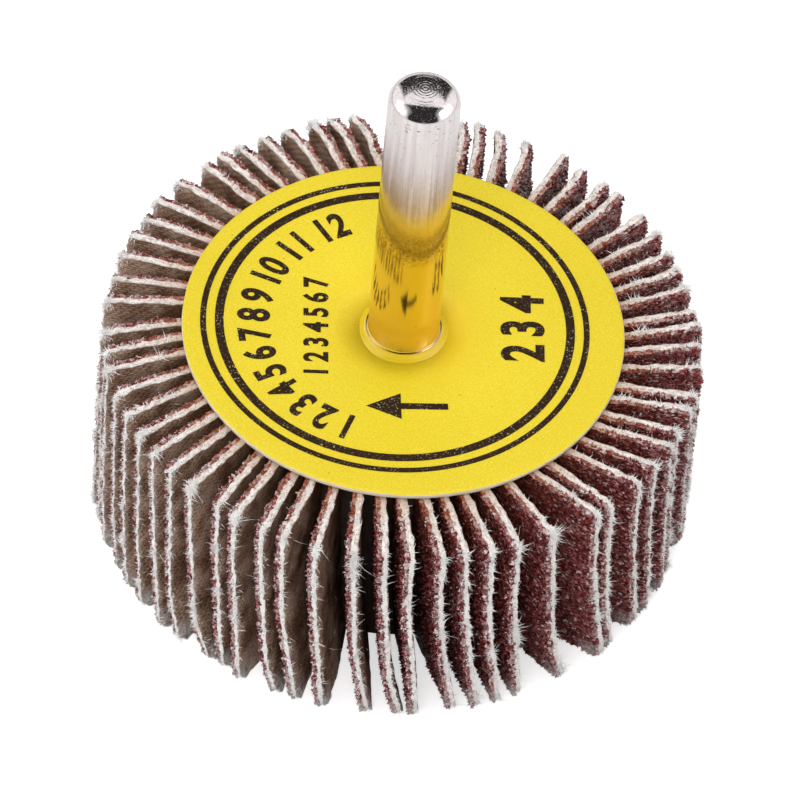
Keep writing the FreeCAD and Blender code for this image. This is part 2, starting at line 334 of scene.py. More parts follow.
def coarse_grain():
    """Red grain under a glossy size coat with painted glints, chipped pale where it was cut, browner near
    the core from resin and near-black low down there as painted shade.
    """
    recipe = new_recipe("coarse_grain")
    where = object_place(recipe)
    radius, height = radius_and_height(recipe, where)
    shades, middles = recipe.cells(recipe.stretch(where, (0.8, 0.8, 1.4)), 4300.0)
    edge = recipe.attribute("edge")
    tone = recipe.plus(recipe.times(shades, 0.80), recipe.times(recipe.noise(where, 7000.0, 2.0), 0.25))
    tone = recipe.plus(tone, recipe.times(edge, 0.12))
    # The pink and near-white stops at the top are painted glints: sparkle on the crystals painted in place
    # of highlights.
    grain = recipe.ramp(tone, [(0.16, (0.014, 0.002, 0.002)), (0.42, (0.110, 0.010, 0.010)),
                               (0.63, (0.31, 0.047, 0.046)), (0.79, (0.58, 0.26, 0.25)),
                               (0.87, (0.97, 0.92, 0.91))])
    broken = recipe.spread(recipe.noise(where, 1500.0, 3.0, 0.7), 0.50, 0.60)
    chips = recipe.times(edge, broken, True)
    grain = recipe.blend(recipe.times(chips, 0.8), grain, (0.62, 0.48, 0.46))
    patch = recipe.noise(where, 420.0, 2.0)
    # Near the core the grain takes resin: orange-brown at the top and on the edges, and near-black lower
    # down, which is painted shade deep between the flaps.
    resin = resin_and_shade_share(recipe, radius, patch, 0.005, 0.0262, 0.0205)
    resin_stain_and_gap_shade = recipe.blend(recipe.spread(height, 0.0080, 0.0170),
                          (0.022, 0.005, 0.003), (0.135, 0.028, 0.010))
    resin_stain_and_gap_shade = recipe.blend(edge, resin_stain_and_gap_shade, (0.44, 0.130, 0.034))
    colour = recipe.blend(recipe.times(resin, 0.70), grain, resin_stain_and_gap_shade)
    colour = recipe.blend(worn_tips(recipe, where, radius, height), colour, (0.57, 0.50, 0.49))
    relief = recipe.minus(1.0, middles)
    return recipe.surface(Base_Color=colour, Roughness=0.25, Specular_IOR_Level=0.5,
                          Normal=recipe.bump(relief, 0.22 * MM))


def label_lacquer():
    """Yellow print under satin lacquer, with fine specks and an orange-peel surface."""
    recipe = new_recipe("label_lacquer")
    where = object_place(recipe)
    radius, _ = radius_and_height(recipe, where)
    fine = recipe.noise(where, 7500.0, 2.0, 0.6)
    broad = recipe.noise(where, 130.0, 2.0)
    base = recipe.blend(broad, (0.80, 0.610, 0.010), (0.84, 0.655, 0.018))
    # Painted light: the yellow is lightened from 16 mm in towards the shank, to cancel the shank's shadow
    # on the label.
    base = recipe.blend(recipe.spread(radius, 0.0160, 0.0090, 0.0, 0.5), base, (0.95, 0.75, 0.02))
    base = recipe.blend(recipe.spread(fine, 0.50, 0.72, 0.0, 0.50), base, (0.95, 0.82, 0.16))
    base = recipe.blend(recipe.spread(fine, 0.50, 0.28, 0.0, 0.40), base, (0.70, 0.49, 0.004))
    shades, middles = recipe.cells(where, 900.0)
    few = recipe.maths("GREATER_THAN", shades, 0.68)
    dots = recipe.times(recipe.spread(middles, 0.10, 0.05), few)
    base = recipe.blend(recipe.times(dots, 0.55), base, (0.36, 0.25, 0.01))
    # Warmer yellow close round the shank: partly the label's own warm tone there, partly painted light
    # that turns the shank's contact shadow amber instead of olive.
    warm = recipe.times(recipe.spread(radius, 0.0080, 0.0035, 0.0, 0.75),
                        recipe.spread(broad, 0.30, 0.55, 0.4, 1.0))
    base = recipe.blend(warm, base, (0.93, 0.63, 0.012))
    peel = recipe.noise(where, 1500.0, 3.0, 0.6)
    return recipe.surface(Base_Color=base, Roughness=0.42, Specular_IOR_Level=0.4,
                          Coat_Weight=0.15, Coat_Roughness=0.2,
                          Normal=recipe.bump(peel, 0.045 * MM))


def printed_ink():
    """Dark brown ink that missed in small specks."""
    recipe = new_recipe("printed_ink")
    where = object_place(recipe)
    misses = recipe.noise(where, 6500.0, 2.0, 0.6)
    patches = recipe.noise(where, 420.0, 1.0)
    bare = recipe.times(recipe.spread(misses, 0.62, 0.69), recipe.spread(patches, 0.35, 0.60, 0.25, 1.0))
    base = recipe.blend(recipe.noise(where, 1500.0), (0.014, 0.006, 0.002), (0.040, 0.018, 0.007))
    colour = recipe.blend(bare, base, (0.62, 0.52, 0.30))
    peel = recipe.noise(where, 1100.0, 2.0, 0.5)
    return recipe.surface(Base_Color=colour, Roughness=0.5, Specular_IOR_Level=0.2,
                          Normal=recipe.bump(peel, 0.035 * MM))


def label_paper():
    recipe = new_recipe("label_paper")
    where = object_place(recipe)
    layers = recipe.noise(recipe.stretch(where, (1.0, 1.0, 9.0)), 900.0, 3.0)
    colour = recipe.blend(layers, (0.74, 0.62, 0.40), (0.92, 0.87, 0.74))
    return recipe.surface(Base_Color=colour, Roughness=0.9,
                          Normal=recipe.bump(layers, 0.05 * MM))


def steel_nicks(recipe, where, height):
    """Dark nicks, most of them just below the nose."""
    pits = recipe.noise(recipe.stretch(where, (1.0, 1.0, 2.2)), 2400.0, 3.0, 0.6)
    near_nose = recipe.times(recipe.spread(height, 0.0450, 0.0475), recipe.spread(height, 0.0489, 0.0485))
    return recipe.spread(recipe.plus(pits, recipe.times(near_nose, 0.07)), 0.70, 0.73)


def steel_dust(recipe, where, height):
    """A band of brown specks on the lower shank."""
    grime = recipe.noise(where, 4500.0, 3.0, 0.7)
    band = recipe.times(recipe.spread(height, 0.0362, 0.0340), recipe.spread(height, 0.0312, 0.0324))
    return recipe.times(band, recipe.spread(grime, 0.50, 0.57))


def steel_colour(recipe, where, height, streaks, nicks, dust):
    """Pale steel with dark scores, an amber tint low down that is a painted reflection of the yellow
    label, specks and nicks.
    """
    # Painted reflection: the lower shank is tinted amber, as the yellow label shows in it, with an uneven
    # upper edge.
    haze = recipe.noise(where, 1900.0, 4.0, 0.7)
    painted_label_reflection = recipe.spread(recipe.plus(height, recipe.times(haze, 0.008)), 0.0465, 0.0395)
    scores = recipe.times(recipe.spread(streaks, 0.46, 0.34),
                          recipe.spread(height, 0.0445, 0.0390, 0.05, 0.65))
    steel = recipe.blend(recipe.spread(streaks, 0.35, 0.65), (0.78, 0.71, 0.70), (0.90, 0.85, 0.845))
    steel = recipe.blend(scores, steel, (0.40, 0.33, 0.30))
    steel = recipe.blend(painted_label_reflection, steel, (0.81, 0.59, 0.30))
    steel = recipe.blend(recipe.times(dust, 0.75), steel, (0.30, 0.15, 0.05))
    return recipe.blend(recipe.times(nicks, 0.8), steel, (0.07, 0.06, 0.055))


def steel_roughness(recipe, where, height, nicks, dust):
    """Smooth low down and on the nose, duller in specks, nicks and sparks on the end."""
    rough = recipe.plus(recipe.spread(height, 0.034, 0.042, 0.115, 0.18),
                        recipe.times(recipe.plus(dust, nicks), 0.08))
    rough = recipe.minus(rough, recipe.spread(height, 0.0478, 0.0486, 0.0, 0.13))
    sparks = recipe.times(recipe.spread(recipe.noise(where, 7000.0, 2.0), 0.60, 0.68),
                          recipe.spread(height, 0.0482, 0.0487))
    return recipe.plus(rough, recipe.times(sparks, 0.45))


def steel_relief(recipe, where, radius, height, streaks, nicks):
    """Drawing marks on the shank, turned rings and scuffs on its end, and the nicks."""
    rings = recipe.maths("SINE", recipe.times(radius, 24000.0))
    turned = recipe.times(recipe.times(rings, 0.50), recipe.spread(radius, 0.0018, 0.0015))
    scuffs = recipe.noise(where, 4200.0, 3.0, 0.7)
    scuffed = recipe.times(recipe.times(scuffs, 1.8), recipe.spread(radius, 0.0022, 0.0015))
    relief = recipe.times(streaks, recipe.spread(height, 0.0440, 0.0395, 0.05, 1.0))
    relief = recipe.plus(recipe.plus(relief, turned), scuffed)
    return recipe.minus(relief, recipe.times(nicks, 0.8))


def drawn_steel():
    """Bright steel: fine drawing marks up the shank, turned rings on its end, a few nicks."""
    recipe = new_recipe("drawn_steel")
    where = object_place(recipe)
    radius, height = radius_and_height(recipe, where)
    streaks = recipe.noise(recipe.stretch(where, (1.0, 1.0, 0.03)), 3300.0, 3.0, 0.65)
    nicks = steel_nicks(recipe, where, height)
    dust = steel_dust(recipe, where, height)
    relief = steel_relief(recipe, where, radius, height, streaks, nicks)
    return recipe.surface(Base_Color=steel_colour(recipe, where, height, streaks, nicks, dust),
                          Metallic=1.0, Roughness=steel_roughness(recipe, where, height, nicks, dust),
                          Normal=recipe.bump(relief, 0.008 * MM))


def clear_resin():
    """Thin clear resin over yellow: the yellow shows through it."""
    recipe = new_recipe("clear_resin")
    where = object_place(recipe)
    tone = recipe.noise(where, 700.0, 2.0)
    colour = recipe.blend(tone, (0.80, 0.54, 0.010), (0.90, 0.66, 0.030))
    return recipe.surface(Base_Color=colour, Roughness=0.12, IOR=1.5, Coat_Weight=0.6,
                          Coat_Roughness=0.03,
                          Normal=recipe.bump(recipe.noise(where, 900.0, 2.0), 0.06 * MM))


def cast_resin():
    recipe = new_recipe("cast_resin")
    where = object_place(recipe)
    tone = recipe.noise(where, 400.0, 4.0, 0.6)
    colour = recipe.blend(tone, (0.012, 0.006, 0.003), (0.050, 0.024, 0.010))
    return recipe.surface(Base_Color=colour, Roughness=0.5,
                          Normal=recipe.bump(recipe.noise(where, 1300.0, 3.0), 0.12 * MM))


def new_piece(name, mesh, materials):
    piece = add_to_scene(name, mesh)
    for material in materials:
        mesh.materials.append(material)
    return piece


def flap_lines():
    """Where a flap's grid lines lie: along its reach and its height, from 0 to 1, and through it."""
    hidden = np.linspace(0.0, 0.50, 3)
    bare = np.linspace(0.55, 0.94, 10)
    rim = np.array([0.968, 0.995, 1.0])
    reach = np.concatenate([hidden, bare, rim])
    height = np.concatenate([[0.0], np.linspace(0.006, 0.985, 63), [0.9965, 1.0]])
    through = np.array([-GRAIN_THICKNESS, -GRAIN_THICKNESS / 2, 0.0, CLOTH_THICKNESS / 2, CLOTH_THICKNESS])
    return reach, height, through


def flap_shell():
    """The closed surface of one flap as places (reach, height, through) and its quads."""
    lines = flap_lines()
    corners = []
    for axis in range(3):
        across, along = [k for k in range(3) if k != axis]
        for end in (0, -1):
            first, second = np.meshgrid(lines[across], lines[along], indexing="ij")
            side = np.empty(first.shape + (3,))
            side[..., axis] = lines[axis][end]
            side[..., across] = first
            side[..., along] = second
            quads = np.stack([side[:-1, :-1], side[1:, :-1], side[1:, 1:], side[:-1, 1:]], axis=2)
            quads = quads.reshape(-1, 4, 3)
            # The places are a left-handed set, so the sides of axis 1 keep their order at the top
            keeps = (end == 0) if axis != 1 else (end == -1)
            corners.append(quads if keeps else quads[:, ::-1])
    corners = np.concatenate(corners)
    places, index = np.unique(corners.reshape(-1, 3).round(6), axis=0, return_inverse=True)
    return places, index.reshape(-1, 4)


PLACES, QUADS = flap_shell()


def ease(values, low, high):
    """Smooth rise from 0 at low to 1 at high."""
    part = np.clip((values - low) / (high - low), 0.0, 1.0)
    return part * part * (3 - 2 * part)


def even_angle(number):
    """Where a flap's root would lie in an even wheel, with the drift that the solids have."""
    even = FIRST_FLAP_ANGLE + PITCH * number
    return even + FLAP_DRIFT * math.cos(math.radians(even - FLAP_DRIFT_ANGLE)) - ROOT_LAG


def worn_outline(reach, height, through, dice):
    """How far out and up the points lie: the outer end bevelled and its corners worn."""
    end = WHEEL_RADIUS - 0.04 + dice.uniform(-0.22, 0.15)
    out = FLAP_ROOT + reach * (end - FLAP_ROOT)
    out = out - BEVEL * (CLOTH_THICKNESS - through) * ease(reach, 0.955, 1.0)
    up = height * FLAP_HEIGHT
    free = ease(out, CORE_RADIUS - 1.0, WHEEL_RADIUS)
    corner = np.clip((out - end + 0.9) / 0.9, 0, 1) ** 2
    high = np.clip((up - FLAP_HEIGHT + 0.9) / 0.9, 0, 1) ** 2
    low = np.clip((1.2 - up) / 1.2, 0, 1) ** 2
    out = out - corner * (high * dice.uniform(0.05, 0.30) + low * dice.uniform(0.2, 0.8))
    up = up - corner * high * dice.uniform(0.0, 0.22) + 0.3 * corner * low
    return out, up, free


def laid_turn(number, height, out, free, dice):
    """Degrees that the points are turned by: lean, bend and where this flap was laid."""
    lean_down = 1 - height
    turn = TWIST * (0.72 * lean_down ** BEND + 0.28 * lean_down)
    turn = turn + free * dice.normal(0, 0.7) * lean_down ** 2
    edge_at = math.degrees(math.asin((TOP_OFFSET - CLOTH_THICKNESS / 2) / EDGE_RADIUS))
    laid = EDGE_ANGLES[number] + edge_at
    even = even_angle(number)
    stray = (laid - even + 180) % 360 - 180
    return turn + even + stray * (out - FLAP_ROOT) / (EDGE_RADIUS - FLAP_ROOT)


def waved_side(number, out, up, free, dice):
    """How far the points are pushed sideways by slight waves and a tip that trails."""
    reach, _, through = PLACES.T
    side = -TOP_OFFSET + np.where(through > 0, through * (1 - 0.26 * ease(reach, 0.94, 1.0)), through)
    side = side + free * (0.07 * np.sin(up * dice.uniform(0.25, 0.5) + dice.uniform(0, 6.3)))
    back = max(0.0, math.sin(math.radians(even_angle(number))))
    hook = back * dice.uniform(0.1, 0.7) * ease(out, 22.5, 25.2) * ease(up, 14.0, 20.0)
    return side + hook + 0.25 * dice.normal() * ease(out, 20.0, 25.2) * ease(up, 5.0, 0.0)


def flap_points(number, dice):
    """One flap's corner points in millimetres: leaning, bent towards its lower end and frayed."""
    reach, height, through = PLACES.T
    out, up, free = worn_outline(reach, height, through, dice)
    turn = laid_turn(number, height, out, free, dice)
    side = waved_side(number, out, up, free, dice)

    # Yarn ends and lumps of grain
    seed = Vector((number * 7.3, 0, 0))
    lumps = np.array([roughen(Vector(p), seed) for p in zip(out, up, through)])
    inside = np.minimum((1 - reach) * 14, np.minimum(height, 1 - height) * FLAP_HEIGHT)
    rim = np.exp(-inside / 0.35)
    rough = np.where(through > 0.01, 0.015 + 0.11 * rim, 0.05 + 0.10 * rim)
    rough = rough * ease(out, CORE_RADIUS, CORE_RADIUS + 1.5)
    out = out + lumps[:, 0] * rough
    side = side + lumps[:, 1] * rough
    torn = np.abs(lumps[:, 0] + lumps[:, 1]) * 0.28 * ease(up, 0.9, 0.0) * ease(out, 18.0, 20.0)
    up = np.clip(up + lumps[:, 2] * rough + torn, 0.0, FLAP_HEIGHT + 0.15)

    angle = np.radians(turn)
    x = out * np.cos(angle) - side * np.sin(angle)
    y = out * np.sin(angle) + side * np.cos(angle)
    return np.stack([x, y, up], axis=1)


def roughen(point, seed):
    return noise.noise_vector(point * 1.6 + seed) + 0.9 * noise.noise_vector(point * 3.7 - seed)


def add_layer(mesh, label, domain, values):
    layer = mesh.attributes.new(label, "FLOAT", domain)
    layer.data.foreach_set("value", values)


def growth_shares(reach, height, through, inside, worn, spots):
    """How thickly fuzz, strands and grit grow on each face, and how tall the fibres are."""
    cloth = through > 0
    cut = inside < 0.02
    bare = ease(reach, 0.52, 0.60)
    corner = ease(reach, 0.93, 1.0) * ease(height, 0.94, 1.0)
    bottom = ease(height, 0.0, 0.02)
    clumps = np.array([noise.noise(Vector(spot) * 0.9) for spot in spots])
    tufts = ease(clumps, 0.28, 0.50)
    clumps = np.clip(1 + 1.8 * clumps, 0.2, 2.4)
    near_end = np.exp(-(1 - reach) * FLAP_LENGTH / 0.12)
    outer = np.where(reach > 0.995, 1.0, 0.26)
    outer = outer * (0.35 + 1.3 * ease(through, 0.0, CLOTH_THICKNESS))
    fuzz = np.where(cut, outer * (1 + 1.5 * tufts) + 4.5 * corner, 0.75 * worn * near_end + 1.6 * corner)
    strands = np.where(cut, 0.5 * outer + 2.2 * corner + 4.0 * tufts * outer,
                       0.008 + 1.0 * corner + 0.4 * tufts * near_end) * worn
    grit = np.where(cut, 1.3, 0.20 + 0.6 * np.exp(-inside / 0.3))
    tall = 0.55 + 0.30 * clumps + 0.5 * corner + 0.35 * tufts + 0.6 * worn * near_end * ~cut
    return {"fuzz": fuzz * cloth * bare * bottom * clumps,
            "strands": strands * cloth * bare * bottom * clumps,
            "grit": grit * ~cloth * bare,
            "growth": tall}


def flap_mesh(name, numbers, dice):
    """A mesh of neighbouring flaps, with what the frays and the grit need on its faces."""
    points = np.concatenate([flap_points(number, dice) for number in numbers])
    quads = np.concatenate([QUADS + k * len(PLACES) for k in range(len(numbers))])
    mesh = bpy.data.meshes.new(name)
    mesh.from_pydata(points * MM, [], quads.tolist())
    reach, height, through = np.tile(PLACES, (len(numbers), 1)).T
    inside = np.minimum((1 - reach) * FLAP_LENGTH, np.minimum(height, 1 - height) * FLAP_HEIGHT)
    add_layer(mesh, "edge", "POINT", np.exp(-inside / 0.045))
    add_layer(mesh, "ply", "POINT", through / CLOTH_THICKNESS)

    angles = np.repeat([EDGE_ANGLES[number] for number in numbers], len(PLACES))
    worn = 0.62 + 0.38 * np.cos(np.radians(angles - MOST_FRAYED))
    middles = np.stack([reach, height, through, inside, worn], axis=1)[quads].mean(axis=1).T
    shares = growth_shares(*middles, points[quads].mean(axis=1))
    for label, values in shares.items():
        add_layer(mesh, label, "FACE", values)
    mesh.polygons.foreach_set("material_index", np.where(middles[2] > 0, 0, 1).astype(np.int32))

    weave = mesh.uv_layers.new(name="weave")
    unit = (FLAP_LENGTH / WEAVE_UNIT, FLAP_HEIGHT / WEAVE_UNIT)
    flat = np.tile(PLACES[:, :2], (len(numbers), 1))[quads.reshape(-1)] * unit
    weave.data.foreach_set("uv", flat.reshape(-1))
    return mesh


class Growth:
    """A Geometry Nodes tree in the making, with named inputs."""

    def __init__(self, name, sizes):
        self.tree = bpy.data.node_groups.new(name, "GeometryNodeTree")
        face = self.tree.interface
        face.new_socket("Geometry", in_out="INPUT", socket_type="NodeSocketGeometry")
        self.sockets = {}
        for label, (kind, value) in sizes.items():
            socket = face.new_socket(label, in_out="INPUT", socket_type=f"NodeSocket{kind}")
            if value is not None:
                socket.default_value = value
            self.sockets[label] = socket.identifier
        face.new_socket("Geometry", in_out="OUTPUT", socket_type="NodeSocketGeometry")
        self.given = self.tree.nodes.new("NodeGroupInput")

    def add(self, kind, settings=None, **inputs):
        node = self.tree.nodes.new(kind)
        for name, value in (settings or {}).items():
            setattr(node, name, value)
        for name, value in inputs.items():
            self.feed(node.inputs[name.replace("_", " ")], value)
        return node

    def feed(self, socket, value):
        if isinstance(value, bpy.types.NodeSocket):
            self.tree.links.new(value, socket)
        else:
            socket.default_value = value

    def size(self, label):
        return self.given.outputs[label]

    def maths(self, operation, first, second=0.0):
        node = self.add("ShaderNodeMath", {"operation": operation})
        self.feed(node.inputs[0], first)
        self.feed(node.inputs[1], second)
        return node.outputs[0]

    def times(self, first, second):
        return self.maths("MULTIPLY", first, second)

    def plus(self, first, second):
        return self.maths("ADD", first, second)

    def dice(self, low, high, seed):
        """A random number at each point."""
        node = self.add("FunctionNodeRandomValue", {"data_type": "FLOAT"})
        self.feed(node.inputs[2], low)
        self.feed(node.inputs[3], high)
        self.feed(node.inputs["Seed"], seed)
        return node.outputs[1]

    def scatter(self, density, weight, seed):
        """Points on the faces, as dense as the face attribute called weight says."""
        share = self.add("GeometryNodeInputNamedAttribute", {"data_type": "FLOAT"}, Name=weight)
        spots = self.add("GeometryNodeDistributePointsOnFaces", {"distribute_method": "RANDOM"},
                         Mesh=self.size("Geometry"), Seed=seed,
                         Density=self.times(density, share.outputs[0]))
        return spots

    def cone(self, sides, rows, radius, depth):
        """A pointed cone without a base, flat sided."""
        cone = self.add("GeometryNodeMeshCone", {"fill_type": "NONE"}, Vertices=sides,
                        Side_Segments=rows, Radius_Top=0.0, Radius_Bottom=radius, Depth=depth)
        return self.add("GeometryNodeSetShadeSmooth", Geometry=cone.outputs["Mesh"],
                        Shade_Smooth=False).outputs[0]

    def tilt(self, base, low, high, seed):
        turn = self.add("FunctionNodeRandomValue", {"data_type": "FLOAT_VECTOR"})
        self.feed(turn.inputs[0], low)
        self.feed(turn.inputs[1], high)
        self.feed(turn.inputs["Seed"], seed)
        turned = self.add("FunctionNodeEulerToRotation", Euler=turn.outputs[0])
        return self.add("FunctionNodeRotateRotation", {"rotation_space": "LOCAL"},
                        Rotation=base, Rotate_By=turned.outputs[0]).outputs[0]

    def plant(self, spots, shape, rotation, scale, material):
        """Sets a shape at each point and makes it real."""
        planted = self.add("GeometryNodeInstanceOnPoints", Points=spots.outputs["Points"],
                           Instance=shape, Rotation=rotation, Scale=scale)
        real = self.add("GeometryNodeRealizeInstances", Geometry=planted.outputs[0])
        return self.add("GeometryNodeSetMaterial", Geometry=real.outputs[0],
                        Material=material).outputs[0]


def scale_of(growth, x, y, z):
    node = growth.add("ShaderNodeCombineXYZ")
    for socket, value in zip(node.inputs, (x, y, z)):
        growth.feed(socket, value)
    return node.outputs[0]


def fray_and_grit():
    """Short fuzz and longer strands on the cut cloth, and sharp crystals on the grain."""
    growth = Growth("fray_and_grit", {
        "Fuzz Density": ("Float", 52e6),
        "Fuzz Length": ("Float", 0.26 * MM),
        "Fuzz Radius": ("Float", 0.042 * MM),
        "Strand Density": ("Float", 3.5e6),
        "Strand Length": ("Float", 0.55 * MM),
        "Strand Radius": ("Float", 0.024 * MM),
        "Grit Density": ("Float", 19e6),
        "Grit Radius": ("Float", 0.16 * MM),
        "Grit Height": ("Float", 0.22 * MM),
        "Seed": ("Int", 0),
        "Fibre": ("Material", None),
        "Grain": ("Material", None),
    })
    seed = growth.size("Seed")

    # Fuzz: a short three-sided spike
    spots = growth.scatter(growth.size("Fuzz Density"), "fuzz", seed)
    spike = growth.cone(3, 1, growth.size("Fuzz Radius"), growth.size("Fuzz Length"))
    grown = growth.add("GeometryNodeInputNamedAttribute", {"data_type": "FLOAT"}, Name="growth").outputs[0]
    luck = growth.maths("POWER", growth.dice(0.0, 1.0, growth.plus(seed, 2)), 4.0)
    tall = growth.times(grown, growth.plus(0.45, growth.times(luck, 2.2)))
    turn = growth.tilt(spots.outputs["Rotation"], (-0.9, -0.9, -3.14), (0.9, 0.9, 3.14), seed)
    fuzz = growth.plant(spots, spike, turn, scale_of(growth, 1.0, 1.0, tall), growth.size("Fibre"))

    # Strand: a thin cone that bends over, longer where the yarn has come undone
    spots = growth.scatter(growth.size("Strand Density"), "strands", growth.plus(seed, 21))
    cone = growth.cone(3, 3, growth.size("Strand Radius"), growth.size("Strand Length"))
    split = growth.add("ShaderNodeSeparateXYZ", Vector=growth.add("GeometryNodeInputPosition").outputs[0])
    share = growth.maths("DIVIDE", split.outputs[2], growth.size("Strand Length"))
    sag = growth.times(growth.times(share, share),
                       growth.times(growth.size("Strand Length"), 0.6))
    bent = growth.add("GeometryNodeSetPosition", Geometry=cone, Offset=scale_of(growth, sag, 0.0, 0.0))
    luck = growth.maths("POWER", growth.dice(0.0, 1.0, growth.plus(seed, 3)), 5.0)
    long = growth.times(grown, growth.plus(0.6, growth.times(luck, 2.4)))
    turn = growth.tilt(spots.outputs["Rotation"], (-1.0, -1.0, -3.14), (1.0, 1.0, 3.14), seed)
    hair = growth.plant(spots, bent.outputs[0], turn, scale_of(growth, 1.0, 1.0, long),
                        growth.size("Fibre"))

    # Grit: a squat four-sided crystal
    spots = growth.scatter(growth.size("Grit Density"), "grit", growth.plus(seed, 11))
    crystal = growth.cone(4, 1, growth.size("Grit Radius"), growth.size("Grit Height"))
    wide = growth.dice(0.5, 1.3, growth.plus(seed, 5))
    tall = growth.dice(0.4, 1.5, growth.plus(seed, 7))
    turn = growth.tilt(spots.outputs["Rotation"], (-0.5, -0.5, -3.14), (0.5, 0.5, 3.14), seed)
    grit = growth.plant(spots, crystal, turn,
                        scale_of(growth, wide, growth.times(wide, 0.75), tall),
                        growth.size("Grain"))

    joined = growth.add("GeometryNodeJoinGeometry")
    for part in (growth.size("Geometry"), fuzz, hair, grit):
        growth.tree.links.new(part, joined.inputs[0])
    result = growth.tree.nodes.new("NodeGroupOutput")
    growth.tree.links.new(joined.outputs[0], result.inputs[0])
    return growth


def grow(piece, growth, values):
    """Runs the tree on a piece and leaves a plain mesh."""
    modifier = piece.modifiers.new("growth", "NODES")
    modifier.node_group = growth.tree
    for label, value in values.items():
        modifier[growth.sockets[label]] = value
    evaluated = piece.evaluated_get(bpy.context.evaluated_depsgraph_get())
    grown = bpy.data.meshes.new_from_object(evaluated)
    piece.modifiers.remove(modifier)
    plain = piece.data
    piece.data = grown
    bpy.data.meshes.remove(plain)
    keep_in_bounds(grown)


def keep_in_bounds(mesh):
    """Nothing goes through the floor, or far past the CAD wheel."""
    points = np.empty(len(mesh.vertices) * 3)
    mesh.vertices.foreach_get("co", points)
    points = points.reshape(-1, 3)
    points[:, 2] = np.clip(points[:, 2], 0.0, (FLAP_HEIGHT + 0.6) * MM)
    far = np.hypot(points[:, 0], points[:, 1])
    limit = (WHEEL_RADIUS + 0.6) * MM
    points[:, :2] *= np.minimum(1.0, limit / np.maximum(far, 1e-9))[:, None]
    mesh.vertices.foreach_set("co", points.reshape(-1))
    mesh.update()


def make_flaps(cloth, grain, fibre):
    growth = fray_and_grit()
    for pair in range(FLAP_COUNT // 2):
        name = f"flap_pair_{pair + 1:02d}"
        dice = np.random.default_rng(100 + pair)
        mesh = flap_mesh(name, (2 * pair, 2 * pair + 1), dice)
        piece = new_piece(f"cloth_{name}", mesh, [cloth, grain])
        grow(piece, growth, {"Seed": 17 * pair + 1, "Fibre": fibre, "Grain": grain})
        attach(piece, "root")
        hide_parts(name)


def lathe(name, profile, steps, wobble=None):
    """Turns a profile of (radius, height) round the axis. A profile that closes makes a ring."""
    closed = profile[0] == profile[-1]
    rows = profile[:-1] if closed else profile
    points = []
    for step in range(steps):
        angle = 2 * math.pi * step / steps
        for index, (radius, height) in enumerate(rows):
            extra, rise = wobble(angle, index) if wobble else (0.0, 0.0)
            points.append(((radius + extra) * math.cos(angle), (radius + extra) * math.sin(angle),
                           height + rise))
    faces = []
    count = len(rows)
    for step in range(steps):
        after = (step + 1) % steps
        for index in range(count if closed else count - 1):
            following = (index + 1) % count
            faces.append((step * count + index, after * count + index,
                          after * count + following, step * count + following))
    if not closed:
        faces.append(tuple(step * count for step in reversed(range(steps))))
        faces.append(tuple(step * count + count - 1 for step in range(steps)))
    mesh = bpy.data.meshes.new(name)
    mesh.from_pydata(np.array(points) * MM, [], faces)
    mesh.shade_smooth()
    return mesh


def make_label(lacquer, paper):
    """Card disc with a softly rounded, slightly ragged rim and paper showing at its edge."""
    bottom, top = CORE_TOP, LABEL_TOP
    hole = SHANK_RADIUS + 0.55
    rim = LABEL_RADIUS
    profile = [(hole, bottom), (rim - 0.04, bottom), (rim, bottom + 0.05), (rim, top - 0.10),
               (rim - 0.03, top - 0.03), (rim - 0.10, top), (rim - 0.4, top), (rim - 1.5, top),
               (12.0, top), (6.0, top), (hole, top), (hole, bottom)]

    def ragged(angle, index):
        if index not in (1, 2, 3, 4):
            return 0.0, 0.0
        spot = Vector((math.cos(angle), math.sin(angle), 0.05 * index))
        return min(0.0, 0.05 * noise.noise(spot * 9) + 0.03 * noise.noise(spot * 41)), 0.0

    mesh = lathe("label_card", profile, 360, ragged)
    piece = new_piece("label_card", mesh, [lacquer, paper])
    for face in mesh.polygons:
        outside = math.hypot(face.center.x, face.center.y) > (rim - 0.06) * MM
        face.material_index = 1 if outside or face.normal.z < -0.5 else 0
    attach(piece, "root")
    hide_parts("label")


def make_core(resin):
    profile = [(0.0001, CORE_BOTTOM + 0.1), (8.0, CORE_BOTTOM + 0.08), (11.5, CORE_BOTTOM),
               (CORE_RADIUS - 0.4, CORE_BOTTOM), (CORE_RADIUS, CORE_BOTTOM + 0.4)]
    rows = 24
    for row in range(1, rows):
        profile.append((CORE_RADIUS, CORE_BOTTOM + 0.4 + (CORE_TOP - CORE_BOTTOM - 0.8) * row / rows))
    profile += [(CORE_RADIUS, CORE_TOP - 0.3), (CORE_RADIUS - 0.3, CORE_TOP), (0.0001, CORE_TOP)]

    def creep(angle, index):
        spot = Vector((math.cos(angle) * 6, math.sin(angle) * 6, index * 0.35))
        return (-0.25 * abs(noise.noise(spot)), 0.0) if index > 3 else (0.0, 0.0)

    mesh = lathe("cast_core", profile, 192, creep)
    piece = new_piece("cast_core", mesh, [resin])
    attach(piece, "root")
    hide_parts("core")


# The worn edge between the end face and the shank: radius, and drop from the very end
NOSE = ((1.38, 0.105), (1.46, 0.135), (1.75, 0.215), (2.05, 0.340), (2.25, 0.450), (2.45, 0.600),
        (2.62, 0.765), (2.76, 0.945), (2.87, 1.140), (2.95, 1.340), (2.985, 1.520))
END_RADIUS = 1.30
END_RISE = 0.085


